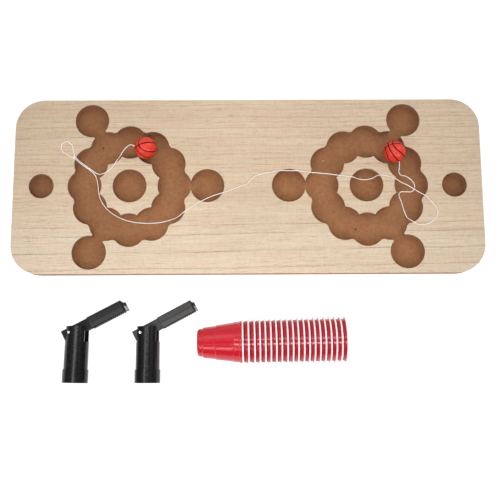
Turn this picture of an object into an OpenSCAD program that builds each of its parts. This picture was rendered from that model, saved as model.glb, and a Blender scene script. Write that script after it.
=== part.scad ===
// Tabletop cup-and-ball game set: a routed playing board, twenty nested mini
// cups, two folding telescopic poles and two balls on one string.
// Frame: origin at the centre of the board's underside, +X along the board,
// +Y away from the player, +Z up.  Everything stands or lies on Z = 0.

/* [Board] */
// Length of the board
board_len = 470.4; // [460:0.1:480]
// Width of the board
board_wid = 178.3; // [176:0.1:184]
// How far the board's outline sits beyond the line through both sockets
board_y = 0.3; // [0:0.05:0.5]
// Thickness of the board with both veneers
board_thk = 12; // [12:0.5:15]
// Corner radius of the board in plan
board_corner = 29; // [20:1:35]
// Thickness of each face veneer
veneer_thk = 0.6; // [0.4:0.1:1]
// Distance of each pocket cluster from the middle of the board
cluster_x = 118.8; // [118:0.1:120]
// Spacing of the cup lattice, centre to centre
lattice = 45; // [44.8:0.1:45.4]
// Radius of one cup pocket
pocket_r = 17; // [16.6:0.1:17.4]
// How far the points between the ring pockets are cut back
cusp_cut = 1.3; // [0.5:0.1:1.6]
// Width of the opening from the ring into a near or far corner pocket
neck_w = 13; // [8:0.5:14]
// Depth of the cup pockets below the top face
pocket_depth = 8; // [7:0.5:8]
// Distance of each pole socket from the middle of the board
socket_x = 207.2; // [206:0.1:209]
// Radius of a pole socket
socket_r = 12.5; // [12.5:0.1:13]
// Depth of a pole socket
socket_depth = 9; // [8:0.5:9.5]

/* [Cups] */
// Height of one cup
cup_h = 44; // [43.8:0.1:45]
// Outer radius of the rolled lip
lip_r = 22.5; // [22.4:0.1:22.8]
// Wall thickness of a cup
cup_wall = 0.4; // [0.35:0.01:0.42]
// Step from one fully nested cup to the next
cup_pitch = 5; // [5:0.1:6]
// Foot of the outermost cup on the table, X
stack_x = -49.1; // [-52:0.1:-46]
// Foot of the outermost cup on the table, Y
stack_y = -156.7; // [-160:0.1:-154]
// Direction of the stack, measured from +X
stack_turn = 1; // [0:0.1:2]

/* [Balls] */
// Radius of a ball
ball_r = 11; // [10.5:0.1:11.2]
// Radius of the string hole through a ball
ball_bore_r = 0.9; // [0.8:0.1:1.2]

/* [Poles] */
// Length of a post
post_len = 54; // [54:0.5:56]
// Outer radius of a post at its top
post_r = 11.3; // [11:0.05:11.4]
// Outer radius of a post just above its collar
post_r_low = 11.5; // [11.4:0.05:11.6]
// Radius of the foot collar that drops into a socket
collar_r = 12.3; // [12.2:0.05:12.4]
// Height of the foot collar
collar_h = 12.8; // [12:0.1:14]
// Depth of the arm slot in the top of a post
slot_depth = 14.7; // [14.7:0.1:15]
// Width of the arm slot
slot_w = 11; // [10.8:0.1:11.4]
// Side of the square bar that carries the arm
bar_w = 10.4; // [10:0.1:10.4]
// Side of the square sleeve
sleeve_w = 12; // [12:0.1:12.4]
// Length of the sleeve
sleeve_len = 36; // [34:0.5:36]
// Radius of the hinge pin
pin_r = 1.3; // [1.2:0.05:1.4]

/* [String] */
// Diameter of the string
string_d = 1; // [0.8:0.1:1]

/* [Hidden] */
$fn = 96;
e = 0.01;

pocket_floor = board_thk - pocket_depth;
satellite_r = lattice * sqrt(3);
// Where the walls of two neighbouring ring pockets meet, on the outer side.
cusp_r = lattice * cos(15) + sqrt(pow(pocket_r, 2) - pow(lattice * sin(15), 2));
function polar(r, a) = [r * cos(a), r * sin(a), 0];

// ---------------------------------------------------------------- board
module board_outline(z0, z1) {
  hx = board_len / 2; hy = board_wid / 2; c = board_corner;
  translate([0, board_y, 0]) {
  translate([-hx + c, -hy, z0]) cube([board_len - 2 * c, board_wid, z1 - z0]);
  translate([-hx, -hy + c, z0]) cube([board_len, board_wid - 2 * c, z1 - z0]);
  for (sx = [-1, 1], sy = [-1, 1])
    translate([sx * (hx - c), sy * (hy - c), z0]) cylinder(r = c, h = z1 - z0);
  }
}

// One ten-cup triangle: a ring of twelve overlapping plunge cuts with blunt
// points between them, a centre pocket that leaves an island, and three corner
// pockets that break into the ring.  The corner pocket on the socket line only
// just does.
module pocket_cluster(cx, first_corner, z0, z1) {
  translate([cx, 0, z0]) {
    cylinder(r = pocket_r, h = z1 - z0);
    for (i = [0:11]) translate(polar(lattice, 30 * i)) cylinder(r = pocket_r, h = z1 - z0);
    for (i = [0:2]) translate(polar(satellite_r, first_corner + 120 * i)) cylinder(r = pocket_r, h = z1 - z0);
    for (i = [0:11]) rotate([0, 0, 15 + 30 * i]) translate([cusp_r - 5, -2, 0]) cube([5 + cusp_cut, 4, z1 - z0]);
    for (i = [1, 2]) rotate([0, 0, first_corner + 120 * i]) translate([lattice + pocket_r - 3, -neck_w / 2, 0]) cube([5, neck_w, z1 - z0]);
  }
}

module board_cuts() {
  pocket_cluster(-cluster_x, 0, pocket_floor, board_thk + 1);
  pocket_cluster(cluster_x, 180, pocket_floor, board_thk + 1);
  for (s = [-1, 1]) translate([s * socket_x, 0, board_thk - socket_depth]) cylinder(r = socket_r, h = socket_depth + 1);
}

module board_core() {
  color([0.60, 0.42, 0.29]) difference() {
    board_outline(veneer_thk, board_thk - veneer_thk);
    board_cuts();
  }
}

module top_veneer() {
  color([0.84, 0.75, 0.64]) difference() {
    board_outline(board_thk - veneer_thk, board_thk);
    board_cuts();
  }
}

module bottom_veneer() { color([0.84, 0.75, 0.64]) board_outline(0, veneer_thk); }

// ---------------------------------------------------------------- cups
// Outer profile of the wall, foot to lip, as radius and height.
outer = [[9.5, 0], [12.1, 0.5], [13.2, 1.8], [13.45, 4.9], [14.5, 5.7], [15.8, 17.2], [16.4, 17.8],
  [18.55, 34.1], [18.95, 34.6], [19.45, 38.8], [19.7, 39.2], [20.25, 42.7]];
// The same wall seen from inside, one wall thickness in.
inner = [[20.25 - cup_wall, 42.7], [19.7 - cup_wall, 39.2 + 0.1], [19.45 - cup_wall, 38.8 + 0.1],
  [18.95 - cup_wall, 34.6 + 0.2], [18.55 - cup_wall, 34.1 + 0.2], [16.4 - cup_wall, 17.8 + 0.2],
  [15.8 - cup_wall, 17.2 + 0.2], [14.5 - cup_wall, 5.7 + 0.25], [13.45 - cup_wall, 4.9 + 0.3],
  [13.2 - cup_wall, 1.8 + 0.15], [12.1 - 0.35, 0.5 + 0.4], [9.4, cup_wall], [0, cup_wall], [0, 0]];
// How much further than fully nested each cup stands out of the one before it.
loose = [0, 0.5, 0.7, 0, 0.1, 0.1, 0.1, 0.1, 0.4, 0.1, 0, 0.3, 0, 0.1, 0, 0.1, 0.1, 0, 0.1, 0];
function cup_along(k) = k == 1 ? 0 : cup_along(k - 1) + cup_pitch + loose[k - 1];

module cup_shape() {
  lip_h = 1.75;
  rotate_extrude() {
    polygon(concat(outer, inner));
    // rolled lip
    polygon([[19.9, cup_h - lip_h], [lip_r - 0.6, cup_h - lip_h], [lip_r - 0.15, cup_h - lip_h + 0.4],
      [lip_r, cup_h - lip_h + 1.1], [lip_r - 0.2, cup_h - 0.5], [lip_r - 0.8, cup_h],
      [20.9, cup_h], [20.2, cup_h - 0.3], [19.9, cup_h - 0.9]]);
  }
}

module cup(k) {
  color([0.80, 0.16, 0.20])
    translate([stack_x, stack_y, lip_r]) rotate([0, 0, stack_turn])
      translate([cup_along(k), 0, 0]) rotate([0, 90, 0]) cup_shape();
}

// ---------------------------------------------------------------- poles
// Foot of each post on the table, turn of the post about +Z, angle of the arm.
foot = [[-167.45, -194.05], [-97.85, -194.5]];
turn = [-1.2, 0];
arm_angle = [28.6, 28];
// A lying post rests on its collar's upper edge and on its own top edge.
lie = atan((collar_r - post_r) / (post_len - collar_h));
foot_z = collar_h * sin(lie) + collar_r * cos(lie);
// Hinge axis, from the post's axis and down from its top.
pivot_x = -6.6;
pivot_drop = 6.1;
// The bar lies from bar_lo to bar_hi across the arm, its heel behind the pivot.
bar_hi = 4.7;
bar_lo = bar_hi - bar_w;
heel = 7.2;
sleeve_start = 20.5;
sleeve_mid = (bar_hi + bar_lo) / 2 - 0.1;
wall = 1.05;
stage_gap = 0.15;

// Post frame: foot centre at the origin, post along +Y, hinge axis along +Z.
module at_pole(i) { translate([foot[i][0], foot[i][1], foot_z]) rotate([0, 0, turn[i]]) rotate([-lie, 0, 0]) children(); }
// Arm frame: pivot at the origin, arm along +X.
module at_arm(i) { at_pole(i) translate([pivot_x, post_len - pivot_drop, 0]) rotate([0, 0, arm_angle[i]]) children(); }

module post(i) {
  color([0.12, 0.12, 0.125]) at_pole(i) difference() {
    union() {
      rotate([-90, 0, 0]) cylinder(r = collar_r, h = collar_h);
      translate([0, collar_h, 0]) rotate([-90, 0, 0]) cylinder(r1 = post_r_low, r2 = post_r, h = post_len - collar_h);
    }
    // hollow foot, closed by a web under the slot
    translate([0, -1, 0]) rotate([-90, 0, 0]) cylinder(r = 9, h = post_len - slot_depth - 2.5 + 1);
    // arm slot, open at both sides and at the top
    translate([-20, post_len - slot_depth, -slot_w / 2]) cube([40, slot_depth + 1, slot_w]);
    // relief on the arm side of the front ear
    translate([8.4, post_len - slot_depth, 0]) cube([6, slot_depth + 1, 12]);
    // hinge holes
    translate([pivot_x, post_len - pivot_drop, -12]) cylinder(r = pin_r, h = 24);
  }
}

module hinge_pin(i) {
  color([0.80, 0.81, 0.83]) at_pole(i) translate([pivot_x, post_len - pivot_drop, -9.5]) cylinder(r = pin_r, h = 19);
}

module knuckle(i) {
  color([0.15, 0.15, 0.155]) at_arm(i) difference() {
    translate([-heel, bar_lo, -bar_w / 2]) cube([heel + sleeve_start + 5, bar_w, bar_w]);
    translate([0, 0, -10]) cylinder(r = pin_r + 0.05, h = 20);
  }
}

// A square bar of side w along +X with its long edges broken by c.
module square_bar(len, w, c) {
  h = w / 2;
  rotate([90, 0, 90]) linear_extrude(len)
    polygon([[c - h, -h], [h - c, -h], [h, c - h], [h, h - c], [h - c, h], [c - h, h], [-h, h - c], [-h, c - h]]);
}

module sleeve(i) {
  s = sleeve_w / 2; g = bar_w / 2;
  color([0.24, 0.24, 0.245]) at_arm(i) translate([sleeve_start, sleeve_mid, 0]) difference() {
    square_bar(sleeve_len, sleeve_w, 0.7);
    // ramp at the near end of the grip side
    translate([0, -s, 0]) rotate([0, 0, -22]) translate([-3, -3, -s - 1]) cube([6, 3.8, sleeve_w + 2]);
    // bore of the sleeve: a close fit on the knuckle's spigot
    translate([-1, bar_lo - sleeve_mid, -g]) cube([6, bar_w, bar_w]);
    translate([4.9, -s + wall, -s + wall]) cube([sleeve_len, sleeve_w - 2 * wall, sleeve_w - 2 * wall]);
    // fine grip grooves across the underside
    for (k = [0:14]) translate([3.2 + 2.15 * k, -s - 1, -s - 1]) cube([1, 1.6, sleeve_w + 2]);
    // one long shallow groove down each flat side
    for (m = [-1, 1]) translate([3, -0.4, m * (s - 0.25) - (m < 0 ? 1 : 0)]) cube([sleeve_len - 6, 0.8, 1]);
  }
}

mid_w = sleeve_w - 2 * wall - 2 * stage_gap;
tip_w = mid_w - 2 * wall - 2 * stage_gap;
mid_start = 26.5;
// Outer end of the middle stage and length of the cap on the tip stage.
mid_end = [57.1, 56.8];
cap_len = [2.2, 1.6];

module middle_stage(i) {
  m = mid_w / 2; t = m - wall;
  color([0.17, 0.17, 0.175]) at_arm(i) translate([0, sleeve_mid, 0]) difference() {
    translate([mid_start, -m, -m]) cube([mid_end[i] - mid_start, mid_w, mid_w]);
    translate([mid_start - 1, -t, -t]) cube([mid_end[i], 2 * t, 2 * t]);
  }
}

module tip_stage(i) {
  t = tip_w / 2; m = mid_w / 2; cap = mid_end[i] + 0.4;
  color([0.20, 0.20, 0.205]) at_arm(i) translate([0, sleeve_mid, 0]) difference() {
    union() {
      translate([mid_start + 0.6, -t, -t]) cube([cap + 0.4 - mid_start, tip_w, tip_w]);
      translate([cap, -m - 1, -m]) cube([cap_len[i], mid_w - 0.6, mid_w]);
    }
    // hollow end
    translate([cap - 4.4, -t + 0.9, -t + 0.9]) cube([9, tip_w - 1.8, tip_w - 1.8]);
    // string notch, open to the front and to one side
    translate([cap + 0.6, -1.5, -1.4]) cube([5, 9, 12]);
  }
}

// ---------------------------------------------------------------- balls and string
ball_z = pocket_floor + ball_r + 0.05;
ball_at = [[-103, 38.3, ball_z], [147.6, 33.2, ball_z]];
// Direction in which the string leaves each ball.
exit_turn = [168, -63];

module ball(i) {
  color([0.86, 0.24, 0.18]) translate(ball_at[i]) rotate([0, 0, exit_turn[i]]) rotate([0, 90, 0])
    rotate_extrude() intersection() {
      circle(r = ball_r);
      translate([ball_bore_r, -2 * ball_r]) square([2 * ball_r, 4 * ball_r]);
    }
}

// String on the board top, and on a pocket floor.
zt = board_thk + 0.6;
zf = pocket_floor + 0.6;
// String where it bends over a pocket's edge.
ze = board_thk + 0.68;

left_route = [[-107.9, 39.34, 15.05], [-113.8, 40.6, 15.05], [-118.3, 41.8, 13.9], [-122.6, 40.6, 10.4], [-127, 36.8, 7.4],
  [-130.2, 31, 7.6], [-131.9, 26.6, 11.6], [-133.2, 24, ze], [-134.4, 21.6, zt], [-139.5, 15.8, zt], [-144.3, 12.8, zt],
  [-147.4, 12.9, 10], [-149.8, 13.3, 6.2], [-153.8, 14.7, zf], [-158.4, 18, zf], [-165.4, 23.1, zf],
  [-169.6, 26, 6.4], [-172.1, 27.8, 11.6], [-173.4, 29.2, ze], [-174.6, 31, zt], [-175.7, 36, zt], [-177.6, 42.2, zt],
  [-182, 45.6, zt], [-186.7, 44.2, zt], [-188.2, 39.6, zt], [-186.2, 35, zt], [-180.5, 31.5, zt],
  [-175.7, 28.7, zt], [-174, 27.6, ze], [-172.7, 26.8, 11.8], [-170.3, 25, 6.4], [-166, 22.1, zf], [-159, 17, zf],
  [-154.4, 11.6, zf], [-151.8, 2, zf], [-150.4, -8, zf], [-146.9, -16, zf], [-141, -23.4, zf],
  [-129, -31.4, zf], [-115.5, -35.6, zf], [-102, -36.9, zf], [-88.5, -36.2, zf], [-76, -33, zf],
  [-69.3, -29.9, 6.2], [-65.4, -27.8, 11.4], [-63.3, -26.6, ze], [-61, -25.2, zt], [-49.5, -17.4, zt],
  [-46.7, -16, ze], [-36.5, -10.8, 10.8], [-25.7, -7.7, ze], [-23, -6.9, zt], [-9, -1.6, zt], [-1.2, 0.8, zt]];

right_route = [[-0.2, 1.4, zt], [2, 4.6, zt], [6, 8.6, zt], [12.5, 11.4, zt], [21, 12.9, zt],
  [32.7, 14.9, ze], [41, 15, 12], [49.5, 14.6, ze], [62.8, 13, ze], [69, 12.8, 11.2],
  [80.5, 11.8, 10.8], [91.2, 9.9, ze], [103.9, 8.2, ze], [106.6, 8.2, 10.8], [111.4, 7.9, 5.4],
  [118.5, 7.2, zf], [125.4, 8.2, 5.4], [129.8, 9.6, 10.8], [132.7, 9.9, ze], [135.4, 9.9, zt], [140.5, 8.8, zt],
  [147.9, 6.1, ze], [154.5, 3.4, 9], [161.3, 1, 6.4], [168, -3.4, 6.6], [174, -8.6, 10.4],
  [176.8, -10.9, ze],
  [178.4, -12.2, zt], [183.4, -17.8, zt], [187.8, -23.6, zt], [189, -29.8, zt], [186.2, -35.4, zt],
  [181, -39, zt], [174, -41, zt], [167, -39.8, zt], [164.8, -38, ze], [162.8, -36.4, 10.9], [159.8, -32, 5.4],
  [157.2, -25, zf], [155, -16.5, zf], [152.6, -8.6, zf], [154.4, -5.8, zf], [160, -5.6, zf],
  [165.8, -5.4, zf], [168.6, -2, zf], [168.4, 2.8, zf], [165.2, 7.2, zf], [160.2, 10.6, zf],
  [155, 12, zf], [153.6, 14.4, 6], [154.2, 17.4, 9.6], [153.7, 20.8, 13.6], [152.6, 23.4, 15.05],
  [149.9, 28.7, 15.05]];

function unit(v) = v / norm(v);
// Direction of the route at point i, and the two vectors square to it.
function along(p, i) = let (n = len(p) - 1)
  i == 0 ? unit(p[1] - p[0]) : i == n ? unit(p[n] - p[n - 1]) : unit(unit(p[i + 1] - p[i]) + unit(p[i] - p[i - 1]));
function side(t) = unit(cross(t, [0, 0, 1]));
function ring(p, i, r, n) = let (t = along(p, i), s = side(t), u = cross(s, t))
  [for (k = [0:n - 1]) p[i] + r * (cos(360 * k / n) * s + sin(360 * k / n) * u)];

// A cord of radius r swept along the points p, with n sides.
module cord_tube(p, r, n = 8) {
  m = len(p);
  polyhedron(
    points = [for (i = [0:m - 1]) each ring(p, i, r, n)],
    faces = concat(
      [[for (k = [0:n - 1]) n - 1 - k]],
      [for (i = [0:m - 2], k = [0:n - 1]) let (a = i * n + k, b = i * n + (k + 1) % n) each [[a, b, b + n], [a, b + n, a + n]]],
      [[for (k = [0:n - 1]) (m - 1) * n + k]]));
}

module left_string() { color([0.95, 0.93, 0.90]) cord_tube(left_route, string_d / 2); }
module right_string() { color([0.95, 0.93, 0.90]) cord_tube(right_route, string_d / 2); }

// Stopper knot outside the left ball, overhand knot that closes the hanging
// loop, and the knot that joins the two halves of the string.
knot_r = 1.1;
module knot(p) { color([0.90, 0.84, 0.70]) translate(p) sphere(r = knot_r); }
module ball_knot() { knot(ball_at[0] + 12.2 * [cos(exit_turn[0] + 2), sin(exit_turn[0] + 2), 0]); }
module loop_knot() { knot([-174.6, 29.6, board_thk + knot_r + 0.05]); }
module middle_knot() { knot([-0.6, 1.1, board_thk + knot_r + 0.05]); }

board_core();
top_veneer();
bottom_veneer();
post(0);  // left_post
hinge_pin(0);  // left_hinge_pin
knuckle(0);  // left_knuckle
sleeve(0);  // left_sleeve
middle_stage(0);  // left_middle_stage
tip_stage(0);  // left_tip_stage
post(1);  // right_post
hinge_pin(1);  // right_hinge_pin
knuckle(1);  // right_knuckle
sleeve(1);  // right_sleeve
middle_stage(1);  // right_middle_stage
tip_stage(1);  // right_tip_stage
cup(1);  // cup_01
cup(2);  // cup_02
cup(3);  // cup_03
cup(4);  // cup_04
cup(5);  // cup_05
cup(6);  // cup_06
cup(7);  // cup_07
cup(8);  // cup_08
cup(9);  // cup_09
cup(10);  // cup_10
cup(11);  // cup_11
cup(12);  // cup_12
cup(13);  // cup_13
cup(14);  // cup_14
cup(15);  // cup_15
cup(16);  // cup_16
cup(17);  // cup_17
cup(18);  // cup_18
cup(19);  // cup_19
cup(20);  // cup_20
ball(0);  // left_ball
ball(1);  // right_ball
left_string();
right_string();
ball_knot();
loop_knot();
middle_knot();
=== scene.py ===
# Tabletop cup-and-ball game set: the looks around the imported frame.
import math

import bmesh
import bpy
import numpy as np
from mathutils import Matrix, Vector


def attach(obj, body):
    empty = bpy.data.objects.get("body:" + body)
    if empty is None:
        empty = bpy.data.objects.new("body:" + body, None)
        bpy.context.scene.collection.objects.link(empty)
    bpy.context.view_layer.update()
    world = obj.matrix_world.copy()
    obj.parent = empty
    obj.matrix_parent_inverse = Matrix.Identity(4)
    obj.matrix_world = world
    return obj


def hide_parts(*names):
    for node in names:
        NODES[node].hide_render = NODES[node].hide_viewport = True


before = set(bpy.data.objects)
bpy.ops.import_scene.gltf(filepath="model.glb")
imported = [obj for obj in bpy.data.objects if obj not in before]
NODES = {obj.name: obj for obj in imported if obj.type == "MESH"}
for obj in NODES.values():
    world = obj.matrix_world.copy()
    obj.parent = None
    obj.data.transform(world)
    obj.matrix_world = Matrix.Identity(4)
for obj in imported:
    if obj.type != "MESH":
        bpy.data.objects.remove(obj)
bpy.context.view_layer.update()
scene = bpy.context.scene
MM = 0.001

# ------------------------------------------------------------------ camera
# Focal length of 720 pixels in a 500 pixel frame, nearly straight above the set.
cam_data = bpy.data.cameras.new("view")
cam_data.lens = 51.84
cam_data.sensor_width = 36.0
cam_data.clip_start, cam_data.clip_end = 0.02, 20.0
cam = bpy.data.objects.new("view", cam_data)
scene.collection.objects.link(cam)
scene.camera = cam


def _rot(tilt, roll, yaw):
    c, s = math.cos(tilt), math.sin(tilt)
    rx = Matrix(((1, 0, 0), (0, c, -s), (0, s, c)))
    c, s = math.cos(roll), math.sin(roll)
    rz = Matrix(((c, -s, 0), (s, c, 0), (0, 0, 1)))
    c, s = math.cos(yaw), math.sin(yaw)
    ry = Matrix(((c, 0, s), (0, 1, 0), (-s, 0, c)))
    return rz @ rx @ ry @ Matrix(((1, 0, 0), (0, -1, 0), (0, 0, -1)))


_m = _rot(-0.15057, -0.0054, -0.00633)
_axes = Matrix((_m[0], -_m[1], -_m[2])).transposed()
cam.matrix_world = Matrix.Translation(Vector((-2.950, -172.420, 715.957)) * MM) @ _axes.to_4x4()
scene.view_settings.view_transform = "Standard"
scene.view_settings.look = "None"


# ------------------------------------------------------------------ node helpers
def lin(r, g, b):
    """sRGB 0 to 255 as the shader's linear colour."""
    f = lambda v: v / 12.92 if v <= 0.04045 else ((v + 0.055) / 1.055) ** 2.4
    return (f(r / 255), f(g / 255), f(b / 255), 1.0)


class Tree:
    """A short way to write one material's nodes."""

    def __init__(self, name):
        self.mat = bpy.data.materials.new(name)
        self.mat.use_nodes = True
        self.t = self.mat.node_tree
        self.t.nodes.clear()
        self.out = self.t.nodes.new("ShaderNodeOutputMaterial")
        self.bsdf = self.t.nodes.new("ShaderNodeBsdfPrincipled")
        self.t.links.new(self.bsdf.outputs[0], self.out.inputs["Surface"])

    def set(self, **values):
        for k, v in values.items():
            self.bsdf.inputs[k.replace("_", " ")].default_value = v
        return self

    def put(self, socket, value):
        if isinstance(value, bpy.types.NodeSocket):
            self.t.links.new(value, socket)
        else:
            socket.default_value = value

    def feed(self, **values):
        for k, v in values.items():
            self.put(self.bsdf.inputs[k.replace("_", " ")], v)
        return self

    def coords(self, scale=1000.0):
        n = self.t.nodes.new("ShaderNodeTexCoord")
        return self.vec("MULTIPLY", n.outputs["Object"], (scale, scale, scale))

    def vec(self, op, a, b=None):
        n = self.t.nodes.new("ShaderNodeVectorMath")
        n.operation = op
        self.put(n.inputs[0], a)
        if b is not None:
            self.put(n.inputs[1], b)
        return n.outputs["Value"] if op in ("DOT_PRODUCT", "LENGTH", "DISTANCE") else n.outputs["Vector"]

    def m(self, op, a, b=None, c=None, clamp=False):
        n = self.t.nodes.new("ShaderNodeMath")
        n.operation = op
        n.use_clamp = clamp
        self.put(n.inputs[0], a)
        if b is not None:
            self.put(n.inputs[1], b)
        if c is not None:
            self.put(n.inputs[2], c)
        return n.outputs[0]

    def xyz(self, v):
        n = self.t.nodes.new("ShaderNodeSeparateXYZ")
        self.t.links.new(v, n.inputs[0])
        return n.outputs[0], n.outputs[1], n.outputs[2]

    def join(self, x, y, z):
        n = self.t.nodes.new("ShaderNodeCombineXYZ")
        for i, v in enumerate((x, y, z)):
            self.put(n.inputs[i], v)
        return n.outputs[0]

    def noise(self, v, scale=1.0, detail=3.0, rough=0.55, twist=0.0):
        n = self.t.nodes.new("ShaderNodeTexNoise")
        self.put(n.inputs["Vector"], v)
        n.inputs["Scale"].default_value = scale
        n.inputs["Detail"].default_value = detail
        n.inputs["Roughness"].default_value = rough
        n.inputs["Distortion"].default_value = twist
        return n.outputs["Fac"]

    def cells(self, v, scale=1.0, out="Distance", feature="F1"):
        n = self.t.nodes.new("ShaderNodeTexVoronoi")
        n.feature = feature
        self.put(n.inputs["Vector"], v)
        n.inputs["Scale"].default_value = scale
        return n.outputs[out]

    def step(self, v, lo, hi, to_lo=0.0, to_hi=1.0):
        n = self.t.nodes.new("ShaderNodeMapRange")
        n.interpolation_type = "SMOOTHSTEP"
        self.put(n.inputs["Value"], v)
        for k, x in (("From Min", lo), ("From Max", hi), ("To Min", to_lo), ("To Max", to_hi)):
            n.inputs[k].default_value = x
        return n.outputs[0]

    def ramp(self, v, stops):
        n = self.t.nodes.new("ShaderNodeValToRGB")
        self.put(n.inputs[0], v)
        e = n.color_ramp.elements
        while len(e) < len(stops):
            e.new(0.5)
        for el, (p, c) in zip(e, stops):
            el.position, el.color = p, c
        return n.outputs[0]

    def mix(self, f, a, b, kind="MIX"):
        n = self.t.nodes.new("ShaderNodeMix")
        n.data_type = "RGBA"
        n.blend_type = kind
        self.put(n.inputs[0], f)
        self.put(n.inputs[6], a)
        self.put(n.inputs[7], b)
        return n.outputs[2]

    def bump(self, h, strength=0.2, dist=0.1 * MM, normal=None):
        n = self.t.nodes.new("ShaderNodeBump")
        n.inputs["Strength"].default_value = strength
        n.inputs["Distance"].default_value = dist
        self.t.links.new(h, n.inputs["Height"])
        if normal is not None:
            self.t.links.new(normal, n.inputs["Normal"])
        return n.outputs[0]


def paint(obj, *mats):
    obj.data.materials.clear()
    for m in mats:
        obj.data.materials.append(m)


def mesh(name, verts, faces, smooth=True, mats=(), index=None):
    me = bpy.data.meshes.new(name)
    me.from_pydata([tuple(map(float, v)) for v in verts], [], [tuple(map(int, f)) for f in faces])
    me.update()
    o = bpy.data.objects.new(name, me)
    scene.collection.objects.link(o)
    for m in mats:
        me.materials.append(m)
    if index is not None:
        me.polygons.foreach_set("material_index", np.asarray(index, np.int32))
    me.polygons.foreach_set("use_smooth", np.full(len(me.polygons), bool(smooth)))
    me.update()
    return o


# ------------------------------------------------------------------ the string
BOARD = 12.0
FLOOR = 4.0
zt, zf, ze = BOARD + 0.6, FLOOR + 0.6, BOARD + 0.68
LEFT_ROUTE = [
    (-107.9, 39.34, 15.05), (-113.8, 40.6, 15.05), (-118.3, 41.8, 13.9), (-122.6, 40.6, 10.4), (-127, 36.8, 7.4),
    (-130.2, 31, 7.6), (-131.9, 26.6, 11.6), (-133.2, 24, ze), (-134.4, 21.6, zt), (-139.5, 15.8, zt), (-144.3, 12.8, zt),
    (-147.4, 12.9, 10), (-149.8, 13.3, 6.2), (-153.8, 14.7, zf), (-158.4, 18, zf), (-165.4, 23.1, zf),
    (-169.6, 26, 6.4), (-172.1, 27.8, 11.6), (-173.4, 29.2, ze), (-174.6, 31, zt), (-175.7, 36, zt), (-177.6, 42.2, zt),
    (-182, 45.6, zt), (-186.7, 44.2, zt), (-188.2, 39.6, zt), (-186.2, 35, zt), (-180.5, 31.5, zt),
    (-175.7, 28.7, zt), (-174, 27.6, ze), (-172.7, 26.8, 11.8), (-170.3, 25, 6.4), (-166, 22.1, zf), (-159, 17, zf),
    (-154.4, 11.6, zf), (-151.8, 2, zf), (-150.4, -8, zf), (-146.9, -16, zf), (-141, -23.4, zf),
    (-129, -31.4, zf), (-115.5, -35.6, zf), (-102, -36.9, zf), (-88.5, -36.2, zf), (-76, -33, zf),
    (-69.3, -29.9, 6.2), (-65.4, -27.8, 11.4), (-63.3, -26.6, ze), (-61, -25.2, zt), (-49.5, -17.4, zt),
    (-46.7, -16, ze), (-36.5, -10.8, 10.8), (-25.7, -7.7, ze), (-23, -6.9, zt), (-9, -1.6, zt), (-1.2, 0.8, zt)]
RIGHT_ROUTE = [
    (-0.2, 1.4, zt), (2, 4.6, zt), (6, 8.6, zt), (12.5, 11.4, zt), (21, 12.9, zt),
    (32.7, 14.9, ze), (41, 15, 12), (49.5, 14.6, ze), (62.8, 13, ze), (69, 12.8, 11.2),
    (80.5, 11.8, 10.8), (91.2, 9.9, ze), (103.9, 8.2, ze), (106.6, 8.2, 10.8), (111.4, 7.9, 5.4),
    (118.5, 7.2, zf), (125.4, 8.2, 5.4), (129.8, 9.6, 10.8), (132.7, 9.9, ze), (135.4, 9.9, zt), (140.5, 8.8, zt),
    (147.9, 6.1, ze), (154.5, 3.4, 9), (161.3, 1, 6.4), (168, -3.4, 6.6), (174, -8.6, 10.4),
    (176.8, -10.9, ze), (178.4, -12.2, zt), (183.4, -17.8, zt), (187.8, -23.6, zt), (189, -29.8, zt), (186.2, -35.4, zt),
    (181, -39, zt), (174, -41, zt), (167, -39.8, zt), (164.8, -38, ze), (162.8, -36.4, 10.9), (159.8, -32, 5.4),
    (157.2, -25, zf), (155, -16.5, zf), (152.6, -8.6, zf), (154.4, -5.8, zf), (160, -5.6, zf),
    (165.8, -5.4, zf), (168.6, -2, zf), (168.4, 2.8, zf), (165.2, 7.2, zf), (160.2, 10.6, zf),
    (155, 12, zf), (153.2, 14.4, 6), (152.8, 17.4, 9.6), (152.3, 20.8, 13.6), (151.9, 23.4, 15.05),
    (149.9, 28.7, 15.05)]


def curve_through(points, step):
    """A smooth line through the points, in millimetres, with a point about every step."""
    p = np.array(points, float)
    q = np.vstack([2 * p[0] - p[1], p, 2 * p[-1] - p[-2]])
    fine = []
    for i in range(1, len(q) - 2):
        p0, p1, p2, p3 = q[i - 1 : i + 3]
        t0 = 0.0
        t1 = t0 + np.linalg.norm(p1 - p0) ** 0.5
        t2 = t1 + np.linalg.norm(p2 - p1) ** 0.5
        t3 = t2 + np.linalg.norm(p3 - p2) ** 0.5
        for t in np.linspace(t1, t2, 14, endpoint=False):
            a1 = (t1 - t) / (t1 - t0) * p0 + (t - t0) / (t1 - t0) * p1
            a2 = (t2 - t) / (t2 - t1) * p1 + (t - t1) / (t2 - t1) * p2
            a3 = (t3 - t) / (t3 - t2) * p2 + (t - t2) / (t3 - t2) * p3
            b1 = (t2 - t) / (t2 - t0) * a1 + (t - t0) / (t2 - t0) * a2
            b2 = (t3 - t) / (t3 - t1) * a2 + (t - t1) / (t3 - t1) * a3
            fine.append((t2 - t) / (t2 - t1) * b1 + (t - t1) / (t2 - t1) * b2)
    fine.append(p[-1])
    fine = np.array(fine)
    run = np.concatenate([[0], np.cumsum(np.linalg.norm(np.diff(fine, axis=0), axis=1))])
    at = np.linspace(0, run[-1], int(round(run[-1] / step)) + 1)
    return np.stack([np.interp(at, run, fine[:, k]) for k in range(3)], axis=1), run[-1]


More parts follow.
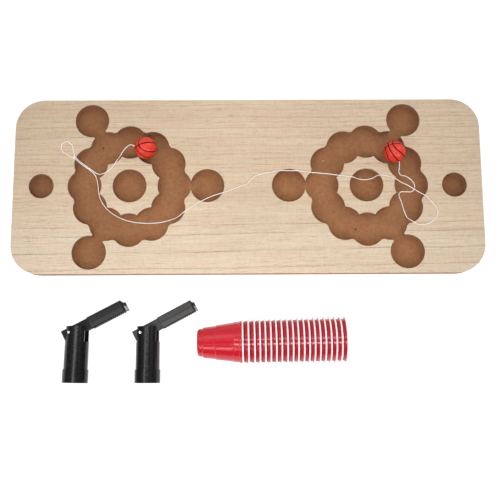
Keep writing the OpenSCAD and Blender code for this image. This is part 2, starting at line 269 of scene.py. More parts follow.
def frames_along(line):
    """Tangents and two cross vectors that turn as little as they can along the line."""
    t = np.gradient(line, axis=0)
    t /= np.linalg.norm(t, axis=1)[:, None]
    u = np.zeros_like(t)
    first = np.cross(t[0], (0, 0, 1.0))
    u[0] = first / np.linalg.norm(first)
    for i in range(1, len(t)):
        v = u[i - 1] - (u[i - 1] @ t[i]) * t[i]
        u[i] = v / np.linalg.norm(v)
    return t, u, np.cross(t, u)


def plied(name, line, radius, turns_per_mm, mat, plies=3, per_ply=5, ends=True):
    """A cord of twisted plies: a lobed section that turns as it runs along the line."""
    t, u, v = frames_along(line)
    run = np.concatenate([[0], np.cumsum(np.linalg.norm(np.diff(line, axis=0), axis=1))])
    n = plies * per_ply
    ang = np.arange(n) / n * 2 * math.pi
    lobe = radius * (0.90 + 0.10 * np.abs(np.cos(plies * ang / 2)) ** 0.7)
    verts = []
    for i in range(len(line)):
        a = ang + run[i] * turns_per_mm * 2 * math.pi
        verts.append(line[i] + lobe[:, None] * (np.cos(a)[:, None] * u[i] + np.sin(a)[:, None] * v[i]))
    verts = np.vstack(verts) * MM
    m = len(line)
    faces = [(i * n + k, i * n + (k + 1) % n, (i + 1) * n + (k + 1) % n, (i + 1) * n + k) for i in range(m - 1) for k in range(n)]
    if ends:
        faces += [tuple(range(n - 1, -1, -1)), tuple((m - 1) * n + k for k in range(n))]
    return mesh(name, verts, faces, mats=[mat])


def cord_material(name, light, dark):
    g = Tree(name)
    v = g.coords()
    n = g.noise(v, 3.0, 3.0, 0.6)
    slow = g.noise(v, 0.12, 2.0, 0.5)
    f = g.m("MULTIPLY", n, g.m("ADD", slow, 0.4), clamp=True)
    g.feed(Base_Color=g.mix(f, light, dark), Normal=g.bump(n, 0.35, 0.12 * MM))
    # the string and its knots glow a little: painted light that brightens them
    g.set(Roughness=0.78, Sheen_Weight=0.25, Sheen_Roughness=0.5, Emission_Color=light, Emission_Strength=0.10)
    return g.mat


STRING = cord_material("string_cotton", lin(253, 249, 245), lin(238, 229, 219))
KNOT = cord_material("knot_cotton", lin(250, 222, 168), lin(234, 198, 140))

left_line, left_len = curve_through(LEFT_ROUTE, 0.34)
right_line, right_len = curve_through(RIGHT_ROUTE, 0.34)
left_cord = plied("cord_left", left_line, 0.46, 0.38, STRING)
right_cord = plied("cord_right", right_line, 0.46, 0.38, STRING)
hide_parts("left_string")
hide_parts("right_string")
for c in (left_cord, right_cord):
    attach(c, "swing_line")


def knot(name, centre, size, axis, turn, mat):
    """A small overhand knot: one cord drawn up tight into three lobes."""
    k = np.linspace(0, 2 * math.pi, 90, endpoint=False)
    x = np.sin(k) + 2 * np.sin(2 * k)
    y = np.cos(k) - 2 * np.cos(2 * k)
    z = -np.sin(3 * k)
    p = np.stack([x, y, z * 1.15], 1)
    p *= (size - 0.42) / 3.0
    a = np.array(axis, float)
    a /= np.linalg.norm(a)
    side = np.cross(a, (0.0, 0.0, 1.0))
    side = side / np.linalg.norm(side) if np.linalg.norm(side) > 1e-3 else np.array((1.0, 0, 0))
    up = np.cross(side, a)
    c, s = math.cos(turn), math.sin(turn)
    e1, e2 = c * side + s * up, -s * side + c * up
    line = np.array(centre, float) + p[:, :1] * a + p[:, 1:2] * e1 + p[:, 2:] * e2
    nxt = np.roll(line, -1, 0) - np.roll(line, 1, 0)
    t = nxt / np.linalg.norm(nxt, axis=1)[:, None]
    u = np.cross(t, e2)
    u /= np.linalg.norm(u, axis=1)[:, None]
    w = np.cross(t, u)
    n = 10
    ang = np.arange(n) / n * 2 * math.pi
    r = 0.42
    verts = np.vstack([line[i] + r * (np.cos(ang)[:, None] * u[i] + np.sin(ang)[:, None] * w[i]) for i in range(len(line))]) * MM
    m = len(line)
    faces = [(i * n + q, i * n + (q + 1) % n, ((i + 1) % m) * n + (q + 1) % n, ((i + 1) % m) * n + q) for i in range(m) for q in range(n)]
    return mesh(name, verts, faces, mats=[mat])


BALLS = [("left", Vector((-103.0, 38.3, 15.05)), 168.0), ("right", Vector((147.6, 33.2, 15.05)), -63.0)]
b0 = BALLS[0]
exit0 = Vector((math.cos(math.radians(b0[2])), math.sin(math.radians(b0[2])), 0))
knot0 = Vector((math.cos(math.radians(b0[2] + 2)), math.sin(math.radians(b0[2] + 2)), 0))
for name, node, at, axis, mat in (
    ("knot_ball", "ball_knot", b0[1] + 12.2 * knot0, tuple(exit0), KNOT),
    ("knot_loop", "loop_knot", (-174.6, 29.6, BOARD + 1.15), (-0.5, 0.8, 0), STRING),
    ("knot_middle", "middle_knot", (-0.6, 1.1, BOARD + 1.15), (0.7, 0.6, 0), KNOT)):
    k = knot(name, at, 1.1, axis, 0.6, mat)
    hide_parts(node)
    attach(k, "swing_line")


# ------------------------------------------------------------------ floor and light
def floor_and_light():
    s = 6.0
    floor = mesh("floor", [(-s, -s, 0), (s, -s, 0), (s, s, 0), (-s, s, 0)], [(0, 1, 2, 3)], smooth=False)
    g = Tree("floor_white")
    g.set(Base_Color=(0.25, 0.25, 0.25, 1), Roughness=0.9, Specular_IOR_Level=0.0, Emission_Color=(1, 1, 1, 1), Emission_Strength=0.93)
    paint(floor, g.mat)
    floor.location.z = -0.0001
    # a dim room in front of the set and a bright wall behind it
    world = bpy.data.worlds.new("studio")
    scene.world = world
    world.use_nodes = True
    t = world.node_tree
    bg = t.nodes["Background"]
    bg.inputs[0].default_value = (1, 1, 1, 1)
    tc = t.nodes.new("ShaderNodeTexCoord")
    sep = t.nodes.new("ShaderNodeSeparateXYZ")
    ramp = t.nodes.new("ShaderNodeMapRange")
    ramp.interpolation_type = "SMOOTHSTEP"
    t.links.new(tc.outputs["Generated"], sep.inputs[0])
    t.links.new(sep.outputs[1], ramp.inputs["Value"])
    for k, v in (("From Min", 0.04), ("From Max", 0.24), ("To Min", 0.065), ("To Max", 0.43)):
        ramp.inputs[k].default_value = v
    t.links.new(ramp.outputs[0], bg.inputs[1])
    backdrop = t.nodes.new("ShaderNodeBackground")
    backdrop.inputs[0].default_value = (1, 1, 1, 1)
    backdrop.inputs[1].default_value = 1.0
    path, pick = t.nodes.new("ShaderNodeLightPath"), t.nodes.new("ShaderNodeMixShader")
    t.links.new(path.outputs["Is Camera Ray"], pick.inputs[0])
    t.links.new(bg.outputs[0], pick.inputs[1])
    t.links.new(backdrop.outputs[0], pick.inputs[2])
    t.links.new(pick.outputs[0], t.nodes["World Output"].inputs["Surface"])

    def panel(name, at, size, size_y, radiance, to=None):
        """A rectangle of even brightness, facing down or toward a point; the power follows from its area."""
        d = bpy.data.lights.new(name, "AREA")
        d.shape = "RECTANGLE"
        d.size, d.size_y = size, size_y
        d.energy = radiance * math.pi * size * size_y
        o = bpy.data.objects.new(name, d)
        scene.collection.objects.link(o)
        o.location = at
        if to is not None:
            o.rotation_euler = (Vector(to) - Vector(at)).to_track_quat("-Z", "Y").to_euler()

    panel("key_left", (-0.95, -0.75, 0.90), 0.40, 0.40, 9.5, (0, 0, 0))
    panel("front_box", (-0.400, -1.07, 1.0), 0.30, 0.50, 4.2)
    panel("post_strip", (-0.202, -0.168, 0.30), 0.052, 0.14, 5.6)
    panel("strip_front", (-0.090, -0.440, 1.0), 0.31, 0.11, 16.0)
    panel("strip_back", (-0.080, 0.015, 1.0), 0.31, 0.09, 10.5)
    panel("back_left", (-0.75, 0.55, 0.95), 0.95, 0.95, 1.02, (0, 0, 0))
    panel("back_right", (0.85, 0.55, 0.95), 1.00, 1.00, 1.48, (0, 0, 0))
    panel("front_right", (0.55, -0.95, 0.95), 0.60, 0.60, 3.6, (0, 0, 0))
    panel("low_right", (0.70, -0.72, 0.50), 0.22, 0.22, 9.0, (0, 0, 0))


floor_and_light()


# ------------------------------------------------------------------ wood and fibreboard
def painted_light_falloff(g, x, y, k=1.0):
    """Painted light falloff: the board is painted a little darker toward its ends and its far side, where the light
    falls off, and a touch lighter to the right.
    """
    ex = g.m("MULTIPLY", x, 1 / 200)
    e2 = g.m("MULTIPLY", g.m("MULTIPLY", ex, ex), -0.109 * k)
    e1 = g.m("MULTIPLY", ex, 0.02)
    return g.m("ADD", g.m("ADD", g.m("ADD", e2, e1), 1.0), g.m("MULTIPLY", y, -0.00055 * k))


# The main growth lines: position across the board in millimetres and strength.
GRAIN = [(-82.4, 0.85), (-75.0, 0.25), (-66.0, 1.0), (-58.0, 0.2), (-49.0, 0.85), (-39.8, 0.8), (-34.0, 0.35), (-27.5, 0.3), (-15.5, 0.3), (-7.5, 0.55),
         (3.0, 0.35), (13.6, 0.45), (21.2, 0.6), (27.5, 0.35), (32.6, 0.45), (41.5, 0.5), (49.5, 0.6), (60.2, 0.55), (66.0, 0.35), (71.2, 0.5), (79.5, 0.45), (84.6, 0.4)]


def veneer_material():
    g = Tree("oak_veneer")
    v = g.coords()
    x, y, z = g.xyz(v)
    # the grain leans a little on the near side, wanders slowly and trembles
    lean = g.m("MULTIPLY", x, g.step(y, -55, 0, 0.0155, 0.002))
    slow = g.noise(g.join(g.m("MULTIPLY", x, 0.009), g.m("MULTIPLY", y, 0.016), 2.0), 1.0, 2.0, 0.5)
    quick = g.noise(g.join(g.m("MULTIPLY", x, 0.05), g.m("MULTIPLY", y, 0.07), 4.0), 1.0, 2.0, 0.5)
    yy = g.m("ADD", g.m("SUBTRACT", y, lean), g.m("ADD", g.m("MULTIPLY", g.m("SUBTRACT", slow, 0.5), 4.5), g.m("MULTIPLY", g.m("SUBTRACT", quick, 0.5), 0.9)))
    sharp, fade = None, None
    for pos, k in GRAIN:
        d = g.m("SUBTRACT", yy, pos)
        a = g.step(g.m("ABSOLUTE", d), 0.10, 0.80, k, 0.0)
        b = g.m("MULTIPLY", g.step(d, -0.4, 0.4, 0.0, k), g.step(d, 0.4, 4.0, 1.0, 0.0))
        sharp = a if sharp is None else g.m("MAXIMUM", sharp, a)
        fade = b if fade is None else g.m("MAXIMUM", fade, b)
    # every line is broken along its length, and dotted with pores in places
    gap = g.noise(g.join(g.m("MULTIPLY", x, 0.022), g.m("MULTIPLY", yy, 0.10), 9.0), 1.0, 2.0, 0.5)
    pore = g.noise(g.join(g.m("MULTIPLY", x, 0.30), g.m("MULTIPLY", yy, 1.3), 19.0), 1.0, 2.0, 0.5)
    sharp = g.m("MULTIPLY", sharp, g.m("MULTIPLY", g.step(gap, 0.36, 0.62, 0.20, 1.0), g.step(pore, 0.30, 0.62, 0.35, 1.2)))
    lines = g.noise(g.join(g.m("MULTIPLY", x, 0.012), g.m("MULTIPLY", yy, 0.46), 7.0), 1.0, 3.0, 0.6)
    fibre = g.noise(g.join(g.m("MULTIPLY", x, 0.045), g.m("MULTIPLY", yy, 1.4), 11.0), 1.0, 3.0, 0.6)
    bands = g.noise(g.join(g.m("MULTIPLY", x, 0.003), g.m("MULTIPLY", yy, 0.05), 0.0), 1.0, 2.0, 0.5)
    blush = g.noise(g.join(g.m("MULTIPLY", x, 0.016), g.m("MULTIPLY", yy, 0.20), 33.0), 1.0, 3.0, 0.6)
    dash = g.noise(g.join(g.m("MULTIPLY", x, 0.085), g.m("MULTIPLY", yy, 0.85), 41.0), 1.0, 2.0, 0.5)
    speck = g.noise(g.vec("MULTIPLY", v, (0.8, 1.1, 1.0)), 1.0, 2.0, 0.6)
    rays = g.noise(g.join(g.m("MULTIPLY", x, 0.42), g.m("MULTIPLY", y, 0.10), 57.0), 1.0, 2.0, 0.5)
    col = g.mix(g.step(bands, 0.35, 0.65), lin(228, 206, 178), lin(222, 197, 167))
    col = g.mix(g.m("MULTIPLY", g.step(blush, 0.50, 0.68), 0.60), col, lin(226, 190, 158))
    col = g.mix(g.m("MULTIPLY", g.step(blush, 0.32, 0.50, 1.0, 0.0), 0.55), col, lin(219, 204, 172))
    col = g.mix(g.m("MULTIPLY", g.step(lines, 0.46, 0.68), 0.34), col, lin(197, 166, 136))
    col = g.mix(g.m("MULTIPLY", g.step(lines, 0.26, 0.44, 1.0, 0.0), 0.26), col, lin(238, 221, 197))
    col = g.mix(g.m("MULTIPLY", fade, 0.14), col, lin(196, 162, 128))
    col = g.mix(g.m("MULTIPLY", g.step(fibre, 0.46, 0.68), 0.42), col, lin(190, 158, 128))
    col = g.mix(g.m("MULTIPLY", g.step(speck, 0.48, 0.72), 0.26), col, lin(192, 162, 132))
    col = g.mix(g.m("MULTIPLY", g.step(rays, 0.40, 0.62), 0.10), col, lin(246, 228, 204))
    col = g.mix(g.m("MULTIPLY", g.step(pore, 0.60, 0.74), 0.45), col, lin(160, 130, 102))
    col = g.mix(g.m("MULTIPLY", g.step(dash, 0.60, 0.74), 0.55), col, lin(158, 124, 94))
    col = g.mix(g.m("MULTIPLY", sharp, 0.62), col, lin(144, 110, 80))
    # the near side is a little less yellow
    col = g.mix(g.step(y, -80, 20, 1.0, 0.0), col, g.vec("MULTIPLY", col, (0.995, 1.045, 1.10)))
    # painted light falloff over the veneer
    m = painted_light_falloff(g, x, y)
    # a painted pool of light at the middle of the far side and painted shade just in front of the middle
    for px, py, near, far, k in ((0, 76, 20, 85, 1.04), (0, -28, 12, 60, 0.96)):
        m = g.m("MULTIPLY", m, g.step(g.vec("DISTANCE", g.join(x, y, 0.0), (px, py, 0.0)), near, far, k, 1.0))
    col = g.vec("MULTIPLY", col, g.join(m, m, m))
    g.feed(Base_Color=col, Normal=g.bump(g.m("SUBTRACT", fibre, sharp), 0.14, 0.1 * MM), Roughness=g.step(fibre, 0.2, 0.8, 0.48, 0.60))
    g.set(Specular_IOR_Level=0.3)
    return g.mat


def mdf_material():
    g = Tree("routed_fibreboard")
    v = g.coords()
    x, y, z = g.xyz(v)
    blotch = g.noise(v, 0.045, 3.0, 0.6)
    mott = g.noise(v, 0.33, 4.0, 0.7)
    speck = g.noise(v, 1.3, 3.0, 0.7)
    fibre = g.noise(g.join(g.m("MULTIPLY", x, 0.7), g.m("MULTIPLY", y, 1.6), g.m("MULTIPLY", z, 3.0)), 1.0, 3.0, 0.6)
    col = g.mix(g.step(blotch, 0.3, 0.7), lin(160, 110, 73), lin(168, 118, 79))
    col = g.mix(g.m("MULTIPLY", g.step(mott, 0.38, 0.66), 0.50), col, lin(138, 86, 55))
    col = g.mix(g.m("MULTIPLY", g.step(speck, 0.50, 0.68), 0.46), col, lin(116, 70, 45))
    col = g.mix(g.m("MULTIPLY", g.step(speck, 0.30, 0.44, 1.0, 0.0), 0.34), col, lin(190, 140, 100))
    col = g.mix(g.m("MULTIPLY", g.step(fibre, 0.25, 0.45, 1.0, 0.0), 0.25), col, lin(182, 136, 98))
    # two dark knots of resin and one pale fibre on the pocket floors
    for px, py, r, c in ((-147.5, 41.4, 1.3, (66, 44, 34)), (107.9, -43.8, 1.5, (62, 44, 38)), (76.9, 27.2, 1.0, (208, 176, 146))):
        q = g.vec("DISTANCE", g.join(x, y, 0.0), (px, py, 0.0))
        col = g.mix(g.step(q, 0.35 * r, 1.05 * r, 0.85, 0.0), col, lin(*c))
    # steep faces, the cut walls and the sawn sides, are mixed toward one flat brown set apart from the routed floors:
    # partly the cut fibre's own tone, partly painted shade
    geo = g.t.nodes.new("ShaderNodeNewGeometry")
    up = g.m("ABSOLUTE", g.xyz(geo.outputs["Normal"])[2])
    wall = g.step(up, 0.3, 0.9, 1.0, 0.0)
    col = g.mix(g.m("MULTIPLY", wall, 0.35), col, lin(164, 108, 68))
    # the same painted light falloff, stronger on the fibreboard
    m = painted_light_falloff(g, x, y, 1.5)
    # painted light and shade: painted shade on the near left against a lamp's light there and in both sockets, painted
    # light on the left of the right ring
    for px, py, r0, r1, k in ((-164, -66, 20, 70, 0.91), (-207.2, 0, 12.8, 15, 0.94), (207.2, 0, 12.8, 15, 0.965), (61, 2, 6, 26, 1.06)):
        m = g.m("MULTIPLY", m, g.step(g.vec("DISTANCE", g.join(x, y, 0.0), (px, py, 0.0)), r0, r1, k, 1.0))
    col = g.vec("MULTIPLY", col, g.join(m, m, m))
    h = g.m("ADD", speck, g.m("MULTIPLY", fibre, 0.6))
    g.feed(Base_Color=col, Normal=g.bump(h, 0.35, 0.15 * MM))
    g.set(Roughness=0.92, Specular_IOR_Level=0.2, Sheen_Weight=0.10, Sheen_Roughness=0.6)
    return g.mat


WOOD = veneer_material()
MDF = mdf_material()
paint(NODES["top_veneer"], WOOD)
paint(NODES["bottom_veneer"], WOOD)
paint(NODES["board_core"], MDF)


def soften(o, width_mm, angle=35, segments=2):
    """Rounds a CAD node's sharp edges with modifiers only."""
    w = o.modifiers.new("weld", "WELD")
    w.merge_threshold = 0.004 * MM
    b = o.modifiers.new("edges", "BEVEL")
    b.width = width_mm * MM
    b.segments = segments
    b.limit_method = "ANGLE"
    b.angle_limit = math.radians(angle)
    b.harden_normals = True
    b.use_clamp_overlap = True
    b.miter_outer = "MITER_ARC"


soften(NODES["top_veneer"], 0.14)
soften(NODES["bottom_veneer"], 0.14)


# ------------------------------------------------------------------ cups
def rounded(points, r, n=4):
    """A polyline with its inner corners rounded; points are (radius, height, material index of the run that follows)."""
    out = []
    m = len(points)
    for i, (a, b, k) in enumerate(points):
        if i in (0, m - 1):
            out.append((a, b, k))
            continue
        p, q0, q1 = np.array((a, b)), np.array(points[i - 1][:2]), np.array(points[i + 1][:2])
        d0, d1 = np.linalg.norm(q0 - p), np.linalg.norm(q1 - p)
        c = min(r, 0.45 * d0, 0.45 * d1)
        s, e = p + (q0 - p) / d0 * c, p + (q1 - p) / d1 * c
        for t in np.linspace(0, 1, n):
            w = (1 - t) ** 2 * s + 2 * t * (1 - t) * p + t * t * e
            out.append((w[0], w[1], points[i - 1][2] if t < 0.5 else k))
    return out


OUTER = [(0, 0.7), (9.4, 0.7), (10.4, 0.25), (11.0, 0.0), (11.6, 0.05), (12.4, 0.6), (13.1, 1.9), (13.45, 4.9), (14.5, 5.7), (15.8, 17.2),
         (16.4, 17.8), (18.55, 34.1), (18.95, 34.6), (19.35, 38.6), (19.4, 39.7), (19.9, 40.1), (20.15, 42.5)]
# Where each cup of the nested stack stands, from the outermost one, in millimetres.
ALONG = [0, 5.5, 11.2, 16.2, 21.3, 26.4, 31.5, 36.6, 42.0, 47.1, 52.1, 57.4, 62.4, 67.5, 72.5, 77.6, 82.7, 87.7, 92.8, 97.8]


def held(points, gap=0.13):
    """Adds a ring close to both ends of each long run, so that its shading stays straight between them."""
    out = []
    for (a, b, k), (c, d, _) in zip(points, points[1:]):
        out.append((a, b, k))
        run = math.hypot(c - a, d - b)
        if run > 5 * gap:
            for f in (gap / run, 1 - gap / run):
                out.append((a + (c - a) * f, b + (d - b) * f, k))
    return out + [points[-1]]


def cup_profile(shaded):
    wall = 0.42
    # painted shade: the step that sits in the mouth of the next cup is painted a deeper red, and on nested cups the
    # wall above it a little darker red
    outer = held(rounded([(r, h, shaded if 38.5 < h < 39 else 4 if shaded and h >= 39 else 0) for r, h in OUTER], 0.25))
    # the rolled lip: a slim bead, taller outwards than along the cup
    cx, cz, rx, rz = 21.25, 43.25, 1.2, 0.74
    lip = []
    # round the bead from where the wall meets it, outwards, over the top and into the mouth
    for a in np.linspace(math.radians(218), math.radians(-172), 26):
        lip.append((cx + rx * math.cos(a), cz + rz * math.sin(a), 1))
    inner_pts = [(r - wall if r > wall else 0, h + (0.42 if h < 1 else 0.12)) for r, h in OUTER[::-1]]
    inner_pts[-1] = (0, 1.12)
    inner = rounded([(r, h, 3) for r, h in inner_pts], 0.3)
    return outer + lip + inner[:]


def lathe(name, profile, seg, mats, place):
    """Turns a profile about the cup's axis; the profile starts and ends on the axis."""
    ang = np.arange(seg) / seg * 2 * math.pi
    verts, rings = [], []
    for r, h, k in profile:
        if r < 1e-6:
            rings.append((len(verts), True))
            verts.append((0, 0, h))
        else:
            rings.append((len(verts), False))
            verts += [(r * math.cos(a), r * math.sin(a), h) for a in ang]
    faces, idx = [], []
    for i in range(len(profile) - 1):
        (a, pa), (b, pb) = rings[i], rings[i + 1]
        k = profile[i][2]
        for s in range(seg):
            t = (s + 1) % seg
            if pa:
                faces.append((a, b + t, b + s))
            elif pb:
                faces.append((a + s, a + t, b))
            else:
                faces.append((a + s, a + t, b + t, b + s))
            idx.append(k)
    v = np.array(verts)
    v = v @ np.array(place.to_3x3()).T + np.array(place.translation)
    return mesh(name, v * MM, faces, mats=mats, index=idx)


def red_plastic(name, k):
    g = Tree(name)
    v = g.coords()
    n = g.noise(v, 0.5, 3.0, 0.6)
    slow = g.noise(v, 0.06, 2.0, 0.5)
    fine = g.noise(v, 4.0, 2.0, 0.5)
    col = g.mix(slow, lin(198, 24, 40), lin(206, 31, 50))
    col = g.mix(g.m("MULTIPLY", g.step(n, 0.5, 0.8), 0.10), col, lin(226, 70, 84))
    col = g.vec("MULTIPLY", col, (k, k, k))
    g.feed(Base_Color=col, Roughness=g.step(n, 0.2, 0.8, 0.13, 0.19), Normal=g.bump(g.m("ADD", n, g.m("MULTIPLY", fine, 0.1)), 0.03, 0.1 * MM))
    g.set(Specular_IOR_Level=0.5)
    return g.mat


def white_plastic(name, light, dark, glow):
    g = Tree(name)
    v = g.coords()
    n = g.noise(v, 0.6, 3.0, 0.6)
    col = g.mix(n, lin(*light), lin(*dark))
    g.feed(Base_Color=col, Roughness=g.step(n, 0.2, 0.8, 0.3, 0.4), Normal=g.bump(n, 0.03, 0.1 * MM))
    g.set(Specular_IOR_Level=0.5, Emission_Color=lin(255, 250, 250), Emission_Strength=glow)
    return g.mat


# the two darker copies of the red are painted shade where the cups nest into each other
RED, RED_STEP_SHADE, RED_BAND_SHADE = red_plastic("cup_red", 1.0), red_plastic("cup_red_step", 0.42), red_plastic("cup_red_band", 0.86)
# the white of the lips glows a little: painted light
WHITE = white_plastic("cup_white", (252, 251, 252), (246, 244, 246), 0.10)
# the inside is painted a greyer, pinkish white: painted shade and a painted reflection of the red
INSIDE_SHADE = white_plastic("cup_inside", (232, 222, 224), (224, 214, 217), 0.0)
STACK = Matrix.Translation((-49.1, -156.7, 22.5)) @ Matrix.Rotation(math.radians(1.0), 4, "Z")
for k in range(20):
    place = STACK @ Matrix.Translation((ALONG[k], 0, 0)) @ Matrix.Rotation(math.radians(90), 4, "Y") @ Matrix.Rotation(math.radians(37.0 * k % 360), 4, "Z")
    node = "cup_%02d" % (k + 1)
    cup = lathe("mini_" + node, cup_profile(2 if k else 0), 112, [RED, WHITE, RED_STEP_SHADE, INSIDE_SHADE, RED_BAND_SHADE], place)
    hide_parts(node)
    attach(cup, node)


# ------------------------------------------------------------------ balls
def ball_material(name, ux, uz, centre):
    """Orange-red rubber with the common two great circles and two side loops in black."""
    ux, uz = Vector(ux).normalized(), Vector(uz)
    uz = (uz - uz.dot(ux) * ux).normalized()
    uy = uz.cross(ux)
    g = Tree(name)
    v = g.coords()
    d = g.vec("NORMALIZE", g.vec("SUBTRACT", v, tuple(centre)))
    x, y, z = (g.vec("DOT_PRODUCT", d, tuple(a)) for a in (ux, uy, uz))
    ax, az = g.m("ABSOLUTE", x), g.m("ABSOLUTE", z)
    y2, z2 = g.m("MULTIPLY", y, y), g.m("MULTIPLY", z, z)
    share = g.m("DIVIDE", y2, g.m("ADD", g.m("ADD", y2, z2), 1e-5))
    beta = g.m("ADD", g.m("MULTIPLY", share, math.radians(65.8 - 50.9)), math.radians(50.9))
    loop = g.m("ABSOLUTE", g.m("SUBTRACT", g.m("ARCCOSINE", ax), beta))
    near = g.m("MINIMUM", g.m("MINIMUM", ax, az), loop)
    ink = g.step(near, 0.043, 0.055, 1.0, 0.0)
    n = g.noise(v, 0.9, 3.0, 0.6)
    peb = g.cells(v, 1.9)
    red = g.mix(g.step(n, 0.3, 0.75), lin(244, 66, 46), lin(232, 56, 40))
    red = g.mix(g.m("MULTIPLY", g.step(peb, 0.2, 0.6), 0.16), red, lin(194, 42, 30))
    col = g.mix(ink, red, lin(16, 8, 11))
    dip = g.step(near, 0.02, 0.06, 0.0, 1.0)
    gloss = g.m("SUBTRACT", 0.45, g.m("MULTIPLY", ink, 0.3))
    nrm = g.bump(dip, 0.5, 0.25 * MM)
    nrm = g.bump(g.step(peb, 0.15, 0.55, 1.0, 0.0), 0.16, 0.08 * MM, nrm)
    g.feed(Base_Color=col, Normal=nrm, Roughness=g.m("ADD", g.m("MULTIPLY", ink, 0.2), 0.34))
    g.feed(Specular_IOR_Level=gloss)
    return g.mat


def ball(side, centre, turn, ux, uz):
    """A ball with its seams pressed in and the string's hole through it."""
    ux, uz = Vector(ux).normalized(), Vector(uz)
    uz = (uz - uz.dot(ux) * ux).normalized()
    uy = uz.cross(ux)
    bm = bmesh.new()
    bmesh.ops.create_icosphere(bm, subdivisions=7, radius=1.0)
    me = bpy.data.meshes.new("ball_" + side)
    bm.to_mesh(me)
    bm.free()
    co = np.zeros(len(me.vertices) * 3)
    me.vertices.foreach_get("co", co)
    d = co.reshape(-1, 3)
    d /= np.linalg.norm(d, axis=1)[:, None]
    x, y, z = d @ np.array(ux), d @ np.array(uy), d @ np.array(uz)
    share = y * y / (y * y + z * z + 1e-5)
    beta = math.radians(50.9) + share * math.radians(65.8 - 50.9)
    near = np.minimum(np.minimum(np.abs(x), np.abs(z)), np.abs(np.arccos(np.clip(np.abs(x), 0, 1)) - beta))
    seam = np.clip(1 - near / 0.055, 0, 1)
    r = 11.0 - 0.22 * seam * seam * (3 - 2 * seam)
    # the hole: skin drawn in round the string on both sides
    a = np.array((math.cos(math.radians(turn)), math.sin(math.radians(turn)), 0))
    off = np.sqrt(np.clip(1 - (d @ a) ** 2, 0, 1)) * 11.0
    hole = np.clip((0.95 - off) / 0.25, 0, 1)
    lip = np.clip(1 - off / 1.6, 0, 1)
    r = r - 0.25 * lip - 2.6 * hole
    p = d * r[:, None] + np.array(centre)
    me.vertices.foreach_set("co", (p * MM).ravel())
    me.polygons.foreach_set("use_smooth", np.ones(len(me.polygons), bool))
    me.update()
    o = bpy.data.objects.new("ball_" + side, me)
    scene.collection.objects.link(o)
    me.materials.append(ball_material("ball_rubber_" + side, ux, uz, centre))
    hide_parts(side + "_ball")
    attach(o, side + "_ball_body")
    return o


ball("left", BALLS[0][1], BALLS[0][2], (0.5496, 0.2796, 0.7872), (0.2598, -0.9528, 0.1571))
ball("right", BALLS[1][1], BALLS[1][2], (0.736, 0.398, 0.548), (0.022, -0.823, 0.568))


# ------------------------------------------------------------------ poles
def black_plastic(name, tone, rough, spec=0.5, grain=0.04):
    g = Tree(name)
    v = g.coords()
    n = g.noise(v, 0.35, 3.0, 0.6)
    fine = g.noise(v, 3.2, 3.0, 0.6)
    dark = lin(*(max(0, c - 6) for c in tone))
    light = lin(*(c + 6 for c in tone))
    g.feed(Base_Color=g.mix(n, dark, light), Roughness=g.step(n, 0.2, 0.8, rough - 0.04, rough + 0.06),
           Normal=g.bump(g.m("ADD", fine, g.m("MULTIPLY", n, 0.5)), grain, 0.1 * MM))
    g.set(Specular_IOR_Level=spec)
    return g.mat


# Pivot of each arm, in millimetres, and the arm's angle.
ARM = {"left": (-173.05, -146.04, 27.4), "right": (-104.45, -146.61, 28.0)}


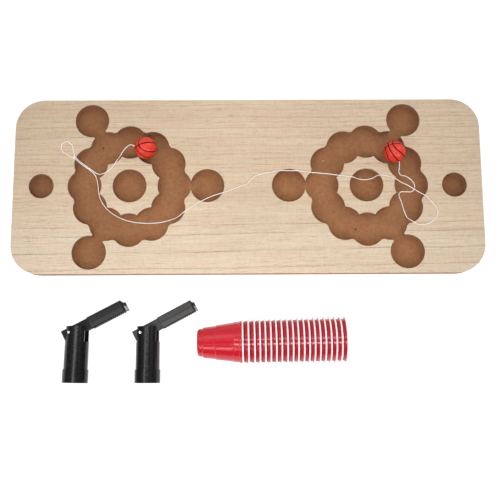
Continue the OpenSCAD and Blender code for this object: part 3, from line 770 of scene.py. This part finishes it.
def arm_plastic(name, side, far, near, edge, spec=0.3, rough=0.6, sleeve=False, turn_at=(-4.5, 4.0), cap=False):
    """Satin plastic of an arm with painted light and shade: one tone on the far half of its top face, another on the
    near half, a third on all other faces, each tone standing in for how that face catches the light.
    """
    px, py, turn = ARM[side]
    c, s = math.cos(math.radians(turn)), math.sin(math.radians(turn))
    g = Tree(name)
    v = g.coords()
    across = g.vec("DOT_PRODUCT", g.vec("SUBTRACT", v, (px, py, 0.0)), (-s, c, 0.0))
    n = g.noise(v, 0.35, 3.0, 0.6)
    fine = g.noise(v, 1.6, 3.0, 0.65)
    col = g.mix(g.step(across, *turn_at), lin(*near), lin(*far))
    col = g.mix(g.m("MULTIPLY", g.step(fine, 0.45, 0.70), 0.35), col, lin(*edge))
    col = g.mix(g.m("MULTIPLY", n, 0.25), col, lin(*far))
    # on the tip the other faces also get painted shade on their far half
    rest = g.mix(g.step(across, *turn_at), lin(*edge), lin(*far)) if cap else lin(*edge)
    if sleeve:
        # painted shade along the long groove and at both ends of the sleeve, and painted light on the lands between the
        # grip grooves
        mid = g.m("ABSOLUTE", g.m("ADD", across, 0.6))
        along = g.vec("DOT_PRODUCT", g.vec("SUBTRACT", v, (px, py, 0.0)), (c, s, 0.0))
        col = g.mix(g.step(mid, 0.35, 0.65, 0.5, 0.0), col, rest)
        col = g.mix(g.m("MAXIMUM", g.step(along, 20.9, 21.4, 0.75, 0.0), g.step(along, 54.9, 55.5, 0.0, 0.85)), col, rest)
        rest = g.mix(g.step(across, -6.45, -6.25, 1.0, 0.0), rest, lin(74, 73, 73))
    geo = g.t.nodes.new("ShaderNodeNewGeometry")
    top = g.step(g.m("ABSOLUTE", g.xyz(geo.outputs["Normal"])[2]), 0.86, 0.975)
    col = g.mix(top, rest, col)
    if cap:
        # only the end cap carries the painted light and shade, the shaft behind it is as dark as the stage it slides in
        along = g.vec("DOT_PRODUCT", g.vec("SUBTRACT", v, (px, py, 0.0)), (c, s, 0.0))
        col = g.mix(g.step(along, 56.5, 56.8), lin(20, 20, 21), col)
    g.feed(Base_Color=col, Roughness=g.step(n, 0.2, 0.8, rough - 0.04, rough + 0.06),
           Specular_IOR_Level=g.m("MULTIPLY", g.m("ADD", g.m("MULTIPLY", top, 0.7), 0.3), spec),
           Normal=g.bump(fine, 0.06, 0.1 * MM))
    return g.mat


BLACK = black_plastic("post_black", (17, 17, 19), 0.24, 0.38, 0.006)
# painted sheen: the right arm's top faces are painted lighter than the left's, for the brighter light they reflect
KNUCKLE = {"left": arm_plastic("knuckle_left_painted_sheen", "left", (10, 10, 12), (16, 16, 17), (8, 8, 9)),
           "right": arm_plastic("knuckle_right_painted_sheen", "right", (66, 66, 64), (72, 72, 70), (14, 14, 15))}
SLEEVE_SHEEN = {"left": arm_plastic("sleeve_left_painted_sheen", "left", (28, 28, 30), (58, 57, 58), (13, 13, 14), sleeve=True),
        "right": arm_plastic("sleeve_right_painted_sheen", "right", (70, 69, 69), (88, 85, 84), (16, 15, 16), sleeve=True)}
# the tip's near half is painted light and its far half painted shade
TIP = {s: arm_plastic("tip_" + s, s, (34, 31, 31), (172, 167, 168), (118, 114, 114), 0.4, 0.4, turn_at=(-2.4, -0.2), cap=True) for s in ("left", "right")}
STAGE = black_plastic("stage_black", (12, 12, 13), 0.5, 0.3)


def steel():
    g = Tree("pin_steel")
    v = g.coords()
    n = g.noise(v, 2.5, 3.0, 0.6)
    g.feed(Roughness=g.step(n, 0.2, 0.8, 0.22, 0.36), Base_Color=g.mix(n, lin(198, 196, 194), lin(168, 166, 166)), Normal=g.bump(n, 0.1, 0.05 * MM))
    g.set(Metallic=1.0)
    return g.mat


STEEL = steel()
for side in ("left", "right"):
    for node, mat, w in (("_post", BLACK, 0), ("_knuckle", KNUCKLE[side], 0.3), ("_sleeve", SLEEVE_SHEEN[side], 0.12), ("_middle_stage", STAGE, 0.15),
                         ("_tip_stage", TIP[side], 0.2), ("_hinge_pin", STEEL, 0.2)):
        o = NODES[side + node]
        paint(o, mat)
        if w:
            soften(o, w)
